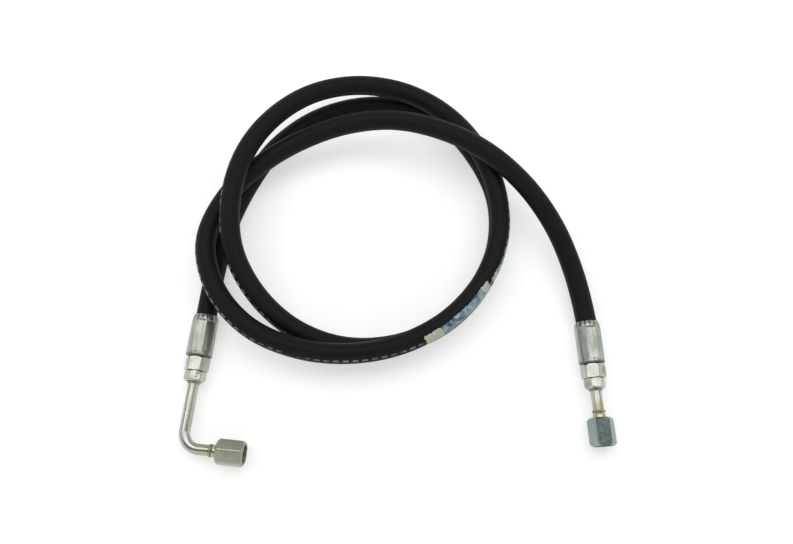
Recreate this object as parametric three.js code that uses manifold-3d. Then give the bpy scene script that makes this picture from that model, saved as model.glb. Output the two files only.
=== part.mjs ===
// Hydraulic hose assembly: a rubber hose with one wire braid, laid in a loose coil of nearly three
// turns. A crimped fitting closes each end, one straight and one with a swept 90 degree elbow, and
// each carries a swivel nut over a 24 degree cone with an O-ring.
//
// Millimetres, +Z up. The origin is on the floor, under the middle of the two metal fittings.
// Each fitting is modelled about its own +Y axis: Y = 0 is the mouth of its ferrule, and +Y runs
// away from the hose.

import * as THREE from 'three';
import { mergeVertices } from 'three/addons/utils/BufferGeometryUtils.js';
import Module from 'manifold-3d';

const wasm = await Module();
wasm.setup();

// ---- Clearances ------------------------------------------------------------------------------

const seatGap = 0.3; // between pieces that touch on the real assembly
const nutRunningGap = 0.3; // between the swivel nut and the shoulder that holds it

// ---- Hose ------------------------------------------------------------------------------------

const hoseDiameter = 15;
const braidDiameter = 12.7;
const braidThickness = 0.8;
const hoseBore = 7.9;
const hoseSides = 8;
const hoseSteps = 70;

// ---- Ferrule ---------------------------------------------------------------------------------

const ferruleLength = 30.8;
const ferruleLipTaper = 4.4; // length of the drawn-in mouth
const ferruleLipCrown = 0.25; // how far the drawn-in mouth bulges beyond a plain cone
const ferruleLipWall = 0.5; // what is left of the wall at the mouth
const ferruleEdgeChamfer = 0.5;
const ferruleCollarLength = 2.8; // the end wall, pressed into the groove of the stem
const crimpFlats = 8;
const crimpDepth = 0.45;
const crimpStart = 4.8;
const crimpEnd = 28.2;
const toothCount = 4;
const toothHeight = 0.6;
const ferruleWall = 1; // outside the roots of the teeth
const ferruleDiameter = hoseDiameter + 2 * (seatGap + toothHeight + ferruleWall);

// ---- Stem ------------------------------------------------------------------------------------

const stemBore = 5;
const barbCount = 5;
const barbHeight = 0.45;
const barbRampShare = 0.85; // of the pitch; the rest is the step down to the next barb
const barbRunOut = 1.5; // plain length between the last barb and the flange
const stemTailStart = 2.5; // from the mouth of the ferrule to the tip of the tail
const hoseStop = 26.8; // the hose is pushed in as far as this
const stemGrooveDiameter = 10;
const stemFlangeDiameter = 13.2;
const stemFlangeLength = 0.8;
const stemHexGap = 0.8; // between the ferrule and the hexagon
const stemHexFlats = 16;
const stemHexLength = 10;
const tubeSocketDepth = 6;

// ---- Tube, collar and brazes -----------------------------------------------------------------

const tubeDiameter = 8;
const tubeWall = 1;
const tubeSides = 12;
const collarHexFlats = 14;
const collarLength = 7.3;
const filletLength = 1.2;
const filletHeight = 0.9;
const filletToeHeight = 0.25;
const beadLength = 1.6;
const beadHeight = 0.5;
const beadEndHeight = 0.25;
const elbowLeg = 83.9; // from the mouth of the ferrule to the start of the bend
const elbowBendRadius = 12;
const elbowSteps = 20;
const elbowNoseDistance = 8.6; // from the end of the bend to the back of the nose
const straightNoseDistance = 65.2; // from the mouth of the ferrule to the back of the nose

// ---- Nose: a 24 degree cone with an O-ring ---------------------------------------------------

const noseTailLength = 1.4; // as wide as the tube that it is brazed to
const noseNeckDiameter = 9.8;
const noseShoulderDiameter = 12;
const noseShoulderLength = 2;
const noseConeLength = 5.8;
const noseConeDiameter = 10;
const noseConeHalfAngle = THREE.MathUtils.degToRad(12);
const ringSection = 1.5;
const ringSideRoom = 0.35; // on each side of the O-ring in its groove
const ringGrooveDiameter = 7.3;
const ringGrooveStart = 1.4; // from the shoulder to the groove
const ringSides = 6;
const ringSegments = 20;

// ---- Swivel nut: M14 x 1.5, 17 mm across flats -----------------------------------------------

const nutFlats = 17;
const nutLength = 19.8;
const nutBackHole = 11.2;
const nutBackWall = 3.6;
const nutThreadMinor = 12.4;
const nutMouthChamfer = 0.5;
const nutRelief = 14.2;
const nutReliefLength = 1.8;
const nutSetBack = 4.6; // from the back of the nose to the back of the nut

// ---- Hexagons --------------------------------------------------------------------------------

const hexCornerLoss = 0.035; // share that rounding takes off a corner's distance from the axis
// Radius of a turned end face, as a share of the width across flats: on the nut and the free end
// of the collar, and where the stem and the collar butt against their neighbours.
const hexFaceShare = 0.445;
const hexButtShare = 0.51;
const hexChamferAngle = THREE.MathUtils.degToRad(42); // from the end face

// ---- Turning and drilling --------------------------------------------------------------------

const roundSegments = 24;
const stemSegments = 16; // on the tail of the stem
const overcut = 1; // how far a drill runs past the end that it comes out of

// ---- Where the fittings lie, and how far each hexagon is rolled from flat side up ------------

const fittingHeight = ferruleDiameter / 2; // the ferrules rest on the floor
const elbowMouth = new THREE.Vector3(-141.9, 53.9, fittingHeight);
const elbowLean = THREE.MathUtils.degToRad(-5.9);
const elbowCollarRoll = THREE.MathUtils.degToRad(-15);
const elbowNutRoll = THREE.MathUtils.degToRad(23);
const straightMouth = new THREE.Vector3(140.6, 48.8, fittingHeight);
const straightLean = THREE.MathUtils.degToRad(3.2);
const straightStemRoll = THREE.MathUtils.degToRad(18);
const straightNutRoll = THREE.MathUtils.degToRad(4);

// ---- Route of the free hose, from the elbow fitting to the straight one ----------------------

const hoseRoute = [
  // First turn, on the floor.
  [-138.5, 90.3, 9], [-131.5, 127.8, 8], [-118, 163.8, 8], [-96.5, 195.8, 8], [-66.5, 219.8, 8],
  [-30, 231.8, 8], [8, 229.8, 8], [42.5, 213.8, 8], [67.5, 184.8, 8], [79, 148.3, 8],
  [76.5, 109.8, 8], [61, 74.8, 8], [34, 47.8, 8], [-1, 32.8, 8], [-39.5, 30.8, 10],
  // It climbs on the left, crosses over, and runs as the outer strand at the top.
  [-75.5, 43.3, 14.5], [-104, 67.3, 22], [-121, 100.3, 30.5], [-125.5, 137.8, 37.5], [-119, 175.3, 39.5],
  [-99, 208.3, 36.5], [-68.5, 230.8, 32], [-32, 240.8, 28], [6, 236.3, 25], [38.5, 216.3, 24],
  // Second turn, on top of the first.
  [62.5, 186.3, 23.5], [76, 150.8, 23.5], [77, 112.3, 23.5], [63, 76.8, 23.5], [37.5, 48.3, 23.5],
  [3.5, 29.8, 23.5], [-34, 22.8, 23.5], [-72, 26.8, 23.5], [-107, 42.8, 24], [-133, 70.8, 25],
  [-142.5, 107.8, 24.5], [-133, 144.8, 23.5], [-108.5, 174.3, 24.5],
  // The inner strand at the top, which crosses both turns and drops to the straight fitting.
  [-76, 194.3, 27], [-40, 206.3, 31], [-2, 206.8, 36], [34.5, 194.8, 39.5], [67.5, 175.3, 39.5],
  [96, 150.3, 33], [118.5, 121.3, 22.5], [133.5, 87.3, 13.5],
];

// ---- Materials -------------------------------------------------------------------------------

function makeMaterial(color, roughness, metalness) {
  return new THREE.MeshStandardMaterial({ color, roughness, metalness });
}

const coverRubber = makeMaterial(0x17181a, 0.75, 0);
const liningRubber = makeMaterial(0x24211f, 0.6, 0);
const braidSteel = makeMaterial(0x9c8f78, 0.4, 1);
const zincPlate = makeMaterial(0xb9bdb6, 0.35, 1);
const darkZincPlate = makeMaterial(0x6f766c, 0.45, 1);
const brazeBrass = makeMaterial(0xa58a4e, 0.4, 1);
const ringRubber = makeMaterial(0x101010, 0.5, 0);

// ---- Solids ----------------------------------------------------------------------------------

// A closed three.js geometry as a manifold solid.
function toSolid(geometry) {
  const bare = geometry.clone();
  bare.deleteAttribute('normal');
  bare.deleteAttribute('uv');
  const merged = mergeVertices(bare, 1e-4);
  return new wasm.Manifold(
    new wasm.Mesh({
      numProp: 3,
      vertProperties: merged.attributes.position.array,
      triVerts: new Uint32Array(merged.index.array),
    }),
  );
}

// A manifold solid as a three.js geometry with flat faces.
function toGeometry(solid) {
  const { vertProperties, triVerts } = solid.getMesh();
  const indexed = new THREE.BufferGeometry();
  indexed.setAttribute('position', new THREE.BufferAttribute(vertProperties, 3));
  indexed.setIndex(new THREE.BufferAttribute(triVerts, 1));
  const flat = indexed.toNonIndexed();
  flat.computeVertexNormals();
  return flat;
}

// A profile of [radius, y] points turned about +Y. It starts and ends on the axis, or else it is
// closed here.
function turned(points, segments = roundSegments) {
  const closed = points[0][0] > 0 ? [...points, points[0]] : points;
  const profile = closed.map(([radius, y]) => new THREE.Vector2(radius, y));
  return new THREE.LatheGeometry(profile, segments);
}

// A solid hexagon from y = start, with rounded corners and both ends chamfered down to end faces
// of the given shares. Its flats face +Z and -Z until it is rolled.
function chamferedHex(flats, start, length, roll, startShare, endShare) {
  const cornerRadius = flats / 2 / Math.cos(Math.PI / 6);
  const rounded = cornerRadius * (1 - hexCornerLoss);
  const startFace = flats * startShare;
  const endFace = flats * endShare;
  const slope = Math.tan(hexChamferAngle);
  const end = start + length;
  const blank = turned([
    [0, start],
    [startFace, start],
    [rounded, start + (rounded - startFace) * slope],
    [rounded, end - (rounded - endFace) * slope],
    [endFace, end],
    [0, end],
  ]);
  const prism = new THREE.CylinderGeometry(cornerRadius, cornerRadius, length, 6, 1, false, Math.PI / 2);
  prism.translate(0, start + length / 2, 0);
  return toSolid(blank.rotateY(roll)).intersect(toSolid(prism.rotateY(roll)));
}

function makeMesh(name, shape, material) {
  const geometry = shape.isBufferGeometry ? shape : toGeometry(shape);
  const mesh = new THREE.Mesh(geometry, material.clone());
  mesh.name = name;
  return mesh;
}

// ---- Hose layers -----------------------------------------------------------------------------

// A point on a fitting's axis in the assembly's frame, at y from the mouth of its ferrule.
function onAxis(mouth, lean, y) {
  return new THREE.Vector3(Math.sin(lean), -Math.cos(lean), 0).multiplyScalar(y).add(mouth);
}

function hosePolygon(radius) {
  return Array.from({ length: hoseSides }, (_, i) => {
    const angle = (2 * Math.PI * (i + 0.5)) / hoseSides;
    return new THREE.Vector2(radius * Math.cos(angle), radius * Math.sin(angle));
  });
}

// The cover, the braid and the inner tube are rings of like section along one path, so their
// sides line up. The flats of the bore touch the true bore circle.
function makeHose() {
  const depths = [hoseStop - seatGap, hoseStop / 2, 0];
  const path = new THREE.CatmullRomCurve3([
    ...depths.map((y) => onAxis(elbowMouth, elbowLean, y)),
    ...hoseRoute.map((point) => new THREE.Vector3(...point)),
    ...[...depths].reverse().map((y) => onAxis(straightMouth, straightLean, y)),
  ]);
  path.arcLengthDivisions = 4000;
  const braidOuter = braidDiameter / 2;
  const braidInner = braidOuter - braidThickness;
  const boreCorner = hoseBore / 2 / Math.cos(Math.PI / hoseSides);
  const hose = new THREE.Group();
  const addLayer = (name, outer, inner, material) => {
    const section = new THREE.Shape(hosePolygon(outer));
    section.holes.push(new THREE.Path(hosePolygon(inner)));
    const ring = new THREE.ExtrudeGeometry(section, { steps: hoseSteps, extrudePath: path });
    hose.add(makeMesh(name, ring, material));
  };
  addLayer('hose_cover', hoseDiameter / 2, braidOuter + seatGap, coverRubber);
  addLayer('hose_wire_braid', braidOuter, braidInner, braidSteel);
  addLayer('hose_inner_tube', braidInner - seatGap, boreCorner, liningRubber);
  return hose;
}

// ---- Ferrule ---------------------------------------------------------------------------------

// The shell is drawn in at its mouth and ribbed inside with teeth that bite the cover. Its end
// wall is the collar that locks into the stem. Eight dies leave the flats of the crimp.
function makeFerrule(name) {
  const outer = ferruleDiameter / 2;
  const toothTip = hoseDiameter / 2 + seatGap;
  const toothRoot = toothTip + toothHeight;
  const collarRadius = stemGrooveDiameter / 2 + seatGap;
  const collarY = ferruleLength - ferruleCollarLength;
  const toothPitch = (collarY - ferruleLipTaper) / toothCount;
  const lipRadius = toothTip + ferruleLipWall;
  const profile = [
    [toothTip, 0],
    [lipRadius, 0],
    [(lipRadius + outer) / 2 + ferruleLipCrown, ferruleLipTaper / 2],
    [outer, ferruleLipTaper],
    [outer, ferruleLength - ferruleEdgeChamfer],
    [outer - ferruleEdgeChamfer, ferruleLength],
    [collarRadius, ferruleLength],
    [collarRadius, collarY],
    [toothRoot, collarY],
  ];
  for (let i = toothCount - 1; i >= 0; i -= 1) {
    const tipY = ferruleLipTaper + toothPitch * i;
    profile.push([toothRoot, tipY + toothPitch / 3], [toothTip, tipY]);
  }
  let shell = toSolid(turned(profile));
  const dieLength = crimpEnd - crimpStart;
  for (let i = 0; i < crimpFlats; i += 1) {
    const die = new THREE.BoxGeometry(outer, dieLength, outer);
    die.translate(0, crimpStart + dieLength / 2, outer * 1.5 - crimpDepth);
    die.rotateY((2 * Math.PI * i) / crimpFlats);
    shell = shell.subtract(toSolid(die));
  }
  return makeMesh(name, shell, zincPlate);
}

// ---- Stem ------------------------------------------------------------------------------------

const stemHexStart = ferruleLength + stemHexGap;
const stemEnd = stemHexStart + stemHexLength;
const tubeStart = stemEnd - tubeSocketDepth + seatGap;
const tubeHole = tubeDiameter / 2 + seatGap;

// A drill of the given radius from y = start to y = end.
function drill(radius, start, end) {
  return toSolid(turned([[0, start], [radius, start], [radius, end], [0, end]]));
}

// The barbed tail sits in the hose bore, the groove takes the ferrule's collar, and the hexagon
// is bored out to take the tube.
function makeStem(name, roll) {
  const barbTip = hoseBore / 2 - seatGap;
  const barbRoot = barbTip - barbHeight;
  const barbPitch = (hoseStop - barbRunOut - stemTailStart) / barbCount;
  const flangeEnd = hoseStop + stemFlangeLength;
  const profile = [[0, stemTailStart]];
  for (let i = 0; i < barbCount; i += 1) {
    const barbY = stemTailStart + barbPitch * i;
    profile.push([barbRoot, barbY], [barbTip, barbY + barbPitch * barbRampShare]);
  }
  profile.push(
    [barbRoot, hoseStop - barbRunOut],
    [barbRoot, hoseStop],
    [stemFlangeDiameter / 2, hoseStop],
    [stemFlangeDiameter / 2, flangeEnd],
    [stemGrooveDiameter / 2, flangeEnd],
    [stemGrooveDiameter / 2, stemEnd - stemHexLength / 2],
    [0, stemEnd - stemHexLength / 2],
  );
  const hexagon = chamferedHex(stemHexFlats, stemHexStart, stemHexLength, roll, hexButtShare, hexButtShare);
  const stem = toSolid(turned(profile, stemSegments))
    .add(hexagon)
    .subtract(drill(stemBore / 2, stemTailStart - overcut, stemEnd + overcut))
    .subtract(drill(tubeHole, stemEnd - tubeSocketDepth, stemEnd + overcut));
  return makeMesh(name, stem, zincPlate);
}

// ---- Collar and brazes -----------------------------------------------------------------------

const collarStart = stemEnd + seatGap;
const collarEnd = collarStart + collarLength;

// A shorter hexagon that backs the joint between the stem and the tube.
function makeCollar(name, roll) {
  const hexagon = chamferedHex(collarHexFlats, collarStart, collarLength, roll, hexButtShare, hexFaceShare);
  const hole = drill(tubeHole, collarStart - overcut, collarEnd + overcut);
  return makeMesh(name, hexagon.subtract(hole), zincPlate);
}

// The fillet of braze metal between the end of the collar and the tube.
function makeFillet(name) {
  const start = collarEnd + seatGap;
  const fillet = turned([
    [tubeHole, start],
    [tubeHole + filletHeight, start],
    [tubeHole + filletToeHeight, start + filletLength],
    [tubeHole, start + filletLength],
  ]);
  return makeMesh(name, fillet, brazeBrass);
}

// The bead of braze metal over the butt joint between the tube and the nose, at y = 0.
function makeBead(name) {
  const half = beadLength / 2;
  const bead = turned([
    [tubeHole, -half],
    [tubeHole + beadEndHeight, -half],
    [tubeHole + beadHeight, 0],
    [tubeHole + beadEndHeight, half],
    [tubeHole, half],
  ]);
  return makeMesh(name, bead, brazeBrass);
}

// ---- Tubes -----------------------------------------------------------------------------------

function makeStraightTube(name) {
  const outer = tubeDiameter / 2;
  const inner = outer - tubeWall;
  const end = straightNoseDistance - seatGap;
  const tube = turned([[inner, tubeStart], [outer, tubeStart], [outer, end], [inner, end]]);
  return makeMesh(name, tube, zincPlate);
}

// The elbow runs down +Y and sweeps through 90 degrees to -X. A cubic curve with its handles at
// this share of the radius follows a quarter circle to 0.03 per cent.
const quarterCircleHandle = 0.5523;
const elbowNose = new THREE.Vector3(-elbowBendRadius - elbowNoseDistance, elbowLeg + elbowBendRadius, 0);

function makeElbowTube(name) {
  const bendStart = new THREE.Vector3(0, elbowLeg, 0);
  const bendEnd = new THREE.Vector3(-elbowBendRadius, elbowLeg + elbowBendRadius, 0);
  const handle = elbowBendRadius * quarterCircleHandle;
  const path = new THREE.CurvePath();
  path.add(new THREE.LineCurve3(new THREE.Vector3(0, tubeStart, 0), bendStart));
  path.add(
    new THREE.CubicBezierCurve3(
      bendStart,
      new THREE.Vector3(0, elbowLeg + handle, 0),
      new THREE.Vector3(handle - elbowBendRadius, elbowLeg + elbowBendRadius, 0),
      bendEnd,
    ),
  );
  path.add(new THREE.LineCurve3(bendEnd, new THREE.Vector3(elbowNose.x + seatGap, elbowNose.y, 0)));
  const circle = (radius) =>
    Array.from({ length: tubeSides }, (_, i) => {
      const angle = (2 * Math.PI * i) / tubeSides;
      return new THREE.Vector2(radius * Math.cos(angle), radius * Math.sin(angle));
    });
  const section = new THREE.Shape(circle(tubeDiameter / 2));
  section.holes.push(new THREE.Path(circle(tubeDiameter / 2 - tubeWall)));
  const tube = new THREE.ExtrudeGeometry(section, { steps: elbowSteps, extrudePath: path });
  return makeMesh(name, tube, zincPlate);
}

// ---- Nose and O-ring, from y = 0 at the back of the nose -------------------------------------

const neckRadius = noseNeckDiameter / 2;
const shoulderRadius = noseShoulderDiameter / 2;
const coneRadius = noseConeDiameter / 2;
const coneSlope = Math.tan(noseConeHalfAngle);
// The shoulder and the nut bear on 45 degree faces, this far apart along the axis.
const bearingGap = nutRunningGap * Math.SQRT2;
const shoulderStart = nutSetBack + nutBackWall - (nutBackHole / 2 - neckRadius) + bearingGap;
const coneStart = shoulderStart + (shoulderRadius - neckRadius) + noseShoulderLength;
const coneEnd = coneStart + noseConeLength;
const grooveStart = coneStart + ringGrooveStart;
const grooveEnd = grooveStart + ringSection + 2 * ringSideRoom;

function makeNose(name) {
  const tailRadius = tubeDiameter / 2;
  const boreRadius = tailRadius - tubeWall;
  const grooveRadius = ringGrooveDiameter / 2;
  const nose = turned([
    [boreRadius, 0],
    [tailRadius, 0],
    [tailRadius, noseTailLength],
    [neckRadius, nutSetBack],
    [neckRadius, shoulderStart],
    [shoulderRadius, shoulderStart + shoulderRadius - neckRadius],
    [shoulderRadius, coneStart],
    [coneRadius, coneStart],
    [coneRadius - ringGrooveStart * coneSlope, grooveStart],
    [grooveRadius, grooveStart],
    [grooveRadius, grooveEnd],
    [coneRadius - (grooveEnd - coneStart) * coneSlope, grooveEnd],
    [coneRadius - noseConeLength * coneSlope, coneEnd],
    [boreRadius, coneEnd],
  ]);
  return makeMesh(name, nose, zincPlate);
}

function makeRing(name) {
  const radius = ringGrooveDiameter / 2 + seatGap + ringSection / 2;
  const ring = new THREE.TorusGeometry(radius, ringSection / 2, ringSides, ringSegments);
  ring.rotateX(Math.PI / 2);
  ring.translate(0, (grooveStart + grooveEnd) / 2, 0);
  return makeMesh(name, ring, ringRubber);
}

// ---- Swivel nut ------------------------------------------------------------------------------

// The back hole clears the neck, a 45 degree face bears on the shoulder, and a relief ends the
// thread, which is left at its minor diameter.
function makeNut(name, roll) {
  const end = nutSetBack + nutLength;
  const bearingStart = nutSetBack + nutBackWall;
  const holeRadius = nutBackHole / 2;
  const reliefRadius = nutRelief / 2;
  const reliefStart = bearingStart + reliefRadius - holeRadius;
  const reliefEnd = reliefStart + nutReliefLength;
  const threadRadius = nutThreadMinor / 2;
  const cavity = turned([
    [0, nutSetBack - overcut],
    [holeRadius, nutSetBack - overcut],
    [holeRadius, bearingStart],
    [reliefRadius, reliefStart],
    [reliefRadius, reliefEnd],
    [threadRadius, reliefEnd],
    [threadRadius, end - nutMouthChamfer],
    [threadRadius + nutMouthChamfer, end],
    [threadRadius + nutMouthChamfer, end + overcut],
    [0, end + overcut],
  ]);
  const hexagon = chamferedHex(nutFlats, nutSetBack, nutLength, roll, hexFaceShare, hexFaceShare);
  return makeMesh(name, hexagon.subtract(toSolid(cavity)), darkZincPlate);
}

// ---- Assembly --------------------------------------------------------------------------------

// What both fittings share at the hose, in the fitting's own frame.
function makeHoseEnd(prefix, stemRoll, collarRoll) {
  const end = new THREE.Group();
  end.add(
    makeFerrule(`${prefix}_ferrule`),
    makeStem(`${prefix}_stem`, stemRoll),
    makeCollar(`${prefix}_tube_collar`, collarRoll),
    makeFillet(`${prefix}_collar_braze`),
  );
  return end;
}

// What both fittings share at the coupling, from y = 0 at the back of the nose.
function makeCoupling(prefix, nutRoll) {
  const coupling = new THREE.Group();
  coupling.add(
    makeBead(`${prefix}_nose_braze`),
    makeNose(`${prefix}_nose_cone`),
    makeRing(`${prefix}_o_ring`),
    makeNut(`${prefix}_swivel_nut`, nutRoll),
  );
  return coupling;
}

// Turns a fitting so that its +Y runs away from the hose, leaning by this angle.
function layDown(fitting, mouth, lean) {
  fitting.position.copy(mouth);
  fitting.rotation.z = Math.PI + lean;
  return fitting;
}

const elbowFitting = makeHoseEnd('elbow', 0, elbowCollarRoll);
const elbowCoupling = makeCoupling('elbow', elbowNutRoll);
elbowCoupling.position.copy(elbowNose);
elbowCoupling.rotation.z = Math.PI / 2;
elbowFitting.add(makeElbowTube('elbow_tube'), elbowCoupling);

const straightFitting = makeHoseEnd('straight', straightStemRoll, 0);
const straightCoupling = makeCoupling('straight', straightNutRoll);
straightCoupling.position.y = straightNoseDistance;
straightFitting.add(makeStraightTube('straight_tube'), straightCoupling);

const assembly = new THREE.Group();
assembly.add(
  makeHose(),
  layDown(elbowFitting, elbowMouth, elbowLean),
  layDown(straightFitting, straightMouth, straightLean),
);

export default assembly;
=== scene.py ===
"""A coiled hydraulic hose with a crimped fitting on each end, dressed over its CAD frame.

The file follows the assembly as it is put together: the studio, the hose, the two crimped ends,
the brazed tubes, and the couplings with their swivel nuts. Metres, +Z up. The profiles of the
fittings, and places in a fitting's own frame, are in millimetres.
"""

import bpy
import numpy as np
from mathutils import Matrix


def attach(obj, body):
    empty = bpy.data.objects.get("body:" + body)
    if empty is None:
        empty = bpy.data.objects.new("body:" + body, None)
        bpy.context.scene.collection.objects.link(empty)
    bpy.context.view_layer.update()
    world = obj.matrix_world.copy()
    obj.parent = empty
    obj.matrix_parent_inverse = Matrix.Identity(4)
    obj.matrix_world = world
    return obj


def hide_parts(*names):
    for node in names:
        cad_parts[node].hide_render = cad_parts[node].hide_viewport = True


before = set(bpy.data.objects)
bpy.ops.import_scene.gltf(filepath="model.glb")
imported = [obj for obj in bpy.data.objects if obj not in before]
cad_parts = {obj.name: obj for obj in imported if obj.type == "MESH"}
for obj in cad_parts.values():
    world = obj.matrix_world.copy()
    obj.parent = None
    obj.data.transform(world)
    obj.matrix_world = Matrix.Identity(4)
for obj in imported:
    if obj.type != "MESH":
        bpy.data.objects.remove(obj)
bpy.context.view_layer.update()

# ---- Studio ------------------------------------------------------------------------------------
# The camera hangs over the front of the coil and looks down at it from 72 degrees. A wide softbox
# over the far side of the table and a weaker one in front light a plain white floor.

CAMERA_PLACE = (-0.0004, -0.0815, 0.5326)
CAMERA_TILT = np.radians(18)


def placed(name, data):
    """A new object of the scene, which holds the data."""
    holder = bpy.data.objects.new(name, data)
    bpy.context.scene.collection.objects.link(holder)
    return holder


camera_data = bpy.data.cameras.new("camera")
camera_data.sensor_width = 36
camera_data.lens = 32.87
camera = placed("camera", camera_data)
camera.location = CAMERA_PLACE
camera.rotation_euler = (CAMERA_TILT, 0, 0)
bpy.context.scene.camera = camera
bpy.context.scene.view_settings.view_transform = "Standard"


def softbox(name, place, tilt, turn, size, radiance):
    """A rectangular lamp of one brightness, its angles in degrees. Its power is pi times its area
    times its radiance."""
    lamp = bpy.data.lights.new(name, "AREA")
    lamp.shape = "RECTANGLE"
    lamp.size, lamp.size_y = size
    lamp.energy = np.pi * size[0] * size[1] * radiance
    holder = placed(name, lamp)
    holder.location = place
    holder.rotation_euler = np.radians((tilt, 0, turn))


softbox(
    "softbox_far", place=(0.0, 0.39, 0.90), tilt=0, turn=5.7, size=(1.90, 0.70), radiance=1.75
)
softbox(
    "softbox_near", place=(-0.1, -0.95, 0.80), tilt=50, turn=0, size=(1.60, 0.70), radiance=0.65
)


def new_material(name, colour, roughness, metallic=0.0):
    """A Principled material for a slot of the record, its node tree, and the shader itself."""
    material = bpy.data.materials.new(name + "_look")
    material["slot"] = name
    material.use_nodes = True
    shader = material.node_tree.nodes["Principled BSDF"]
    shader.inputs["Base Color"].default_value = (*colour, 1)
    shader.inputs["Roughness"].default_value = roughness
    shader.inputs["Metallic"].default_value = metallic
    return material, material.node_tree, shader


def sums(tree, operation, first, second=0):
    """A Math node over one or two sockets or numbers."""
    node = tree.nodes.new("ShaderNodeMath")
    node.operation = operation
    for slot, value in zip(node.inputs, (first, second)):
        if isinstance(value, (int, float)):
            slot.default_value = value
        else:
            tree.links.new(value, slot)
    return node.outputs[0]


def ramp(tree, value, low, high, colours=((0, 0, 0), (1, 1, 1))):
    """A value turned into a mask or a colour that goes from one end to the other over low..high."""
    node = tree.nodes.new("ShaderNodeValToRGB")
    for element, position, colour in zip(node.color_ramp.elements, (low, high), colours):
        element.position = position
        element.color = (*colour, 1)
    tree.links.new(value, node.inputs["Fac"])
    return node.outputs["Color"]


def mixed(tree, share, first, second, how="MIX"):
    """Two colours mixed by a share. Each is a socket or a plain colour."""
    node = tree.nodes.new("ShaderNodeMix")
    node.data_type = "RGBA"
    node.blend_type = how
    if isinstance(share, (int, float)):
        node.inputs["Factor"].default_value = share
    else:
        tree.links.new(share, node.inputs["Factor"])
    for socket, colour in (("A", first), ("B", second)):
        target = [s for s in node.inputs if s.name == socket and s.type == "RGBA"][0]
        if isinstance(colour, tuple):
            target.default_value = (*colour, 1)
        else:
            tree.links.new(colour, target)
    return [s for s in node.outputs if s.type == "RGBA"][0]


def faded(tree, value, start, end, low=0.0, high=1.0):
    """A value that goes softly from low to high while it runs from start to end."""
    node = tree.nodes.new("ShaderNodeMapRange")
    node.interpolation_type = "SMOOTHSTEP"
    limits = {"From Min": start, "From Max": end, "To Min": low, "To Max": high}
    for socket, limit in limits.items():
        node.inputs[socket].default_value = limit
    tree.links.new(value, node.inputs["Value"])
    return node.outputs["Result"]


def object_place(tree):
    """Object coordinates, which are the shared frame in metres."""
    return tree.nodes.new("ShaderNodeTexCoord").outputs["Object"]


def background_ray(tree):
    """1 for the rays that show the background white: the camera's own, and those that metal and
    glass send on."""
    path = tree.nodes.new("ShaderNodeLightPath").outputs
    either = path["Is Camera Ray"]
    for kind in ("Is Glossy Ray", "Is Transmission Ray"):
        either = sums(tree, "MAXIMUM", either, path[kind])
    return either


# Heights in the world are sines of the elevation: of its two colours, and where its white ends.
HORIZON_HEIGHT, OVERHEAD_HEIGHT = 0.28, 0.82
HORIZON_LIGHT, OVERHEAD_LIGHT = (0.62, 0.63, 0.61), (0.19, 0.20, 0.20)
WHITE_BELOW, ROOM_ABOVE = 0.36, 0.50


def light_studio_air():
    """The world: a grey-green room, lighter round the horizon than overhead. The camera and the
    metal see white round the horizon, as the floor is."""
    world = bpy.data.worlds.new("studio_air")
    bpy.context.scene.world = world
    world.use_nodes = True
    tree = world.node_tree
    split = tree.nodes.new("ShaderNodeSeparateXYZ")
    tree.links.new(tree.nodes.new("ShaderNodeTexCoord").outputs["Generated"], split.inputs[0])
    height = split.outputs["Z"]
    lights = (HORIZON_LIGHT, OVERHEAD_LIGHT)
    room = ramp(tree, height, HORIZON_HEIGHT, OVERHEAD_HEIGHT, lights)
    low = faded(tree, height, ROOM_ABOVE, WHITE_BELOW)
    white = sums(tree, "MULTIPLY", background_ray(tree), low)
    seen = mixed(tree, white, room, (1, 1, 1))
    tree.links.new(seen, tree.nodes["Background"].inputs["Color"])


LEAST_LIFT = 0.50  # of the floor's white, out to the first of these distances
LIFT_FROM, LIFT_TO = 0.35, 1.60


def lay_floor():
    """A white floor. What the camera and the metal see of it is lifted to white, the more the
    farther it lies from the lamps, and it keeps the soft shadow of the coil."""
    half = 12.0
    corners = [(-half, -half, 0), (half, -half, 0), (half, half, 0), (-half, half, 0)]
    mesh = bpy.data.meshes.new("floor")
    mesh.from_pydata(corners, [], [(0, 1, 2, 3)])
    material, tree, shader = new_material("floor_white", (0.70, 0.70, 0.70), 0.9)
    shader.inputs["Specular IOR Level"].default_value = 0.0
    distance = tree.nodes.new("ShaderNodeVectorMath")
    distance.operation = "LENGTH"
    tree.links.new(object_place(tree), distance.inputs[0])
    share = faded(tree, distance.outputs["Value"], LIFT_FROM, LIFT_TO, low=LEAST_LIFT)
    lift = sums(tree, "MULTIPLY", background_ray(tree), share)
    shader.inputs["Emission Color"].default_value = (1, 1, 1, 1)
    tree.links.new(lift, shader.inputs["Emission Strength"])
    mesh.materials.append(material)
    placed("floor", mesh)


light_studio_air()
lay_floor()

# ---- Hose --------------------------------------------------------------------------------------
# A 5/16 inch hose: a smooth lining, one braid of brass-coated wire, and a black rubber cover. It
# leaves the elbow fitting, makes two and a half loose turns and runs back into the straight one.

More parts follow.
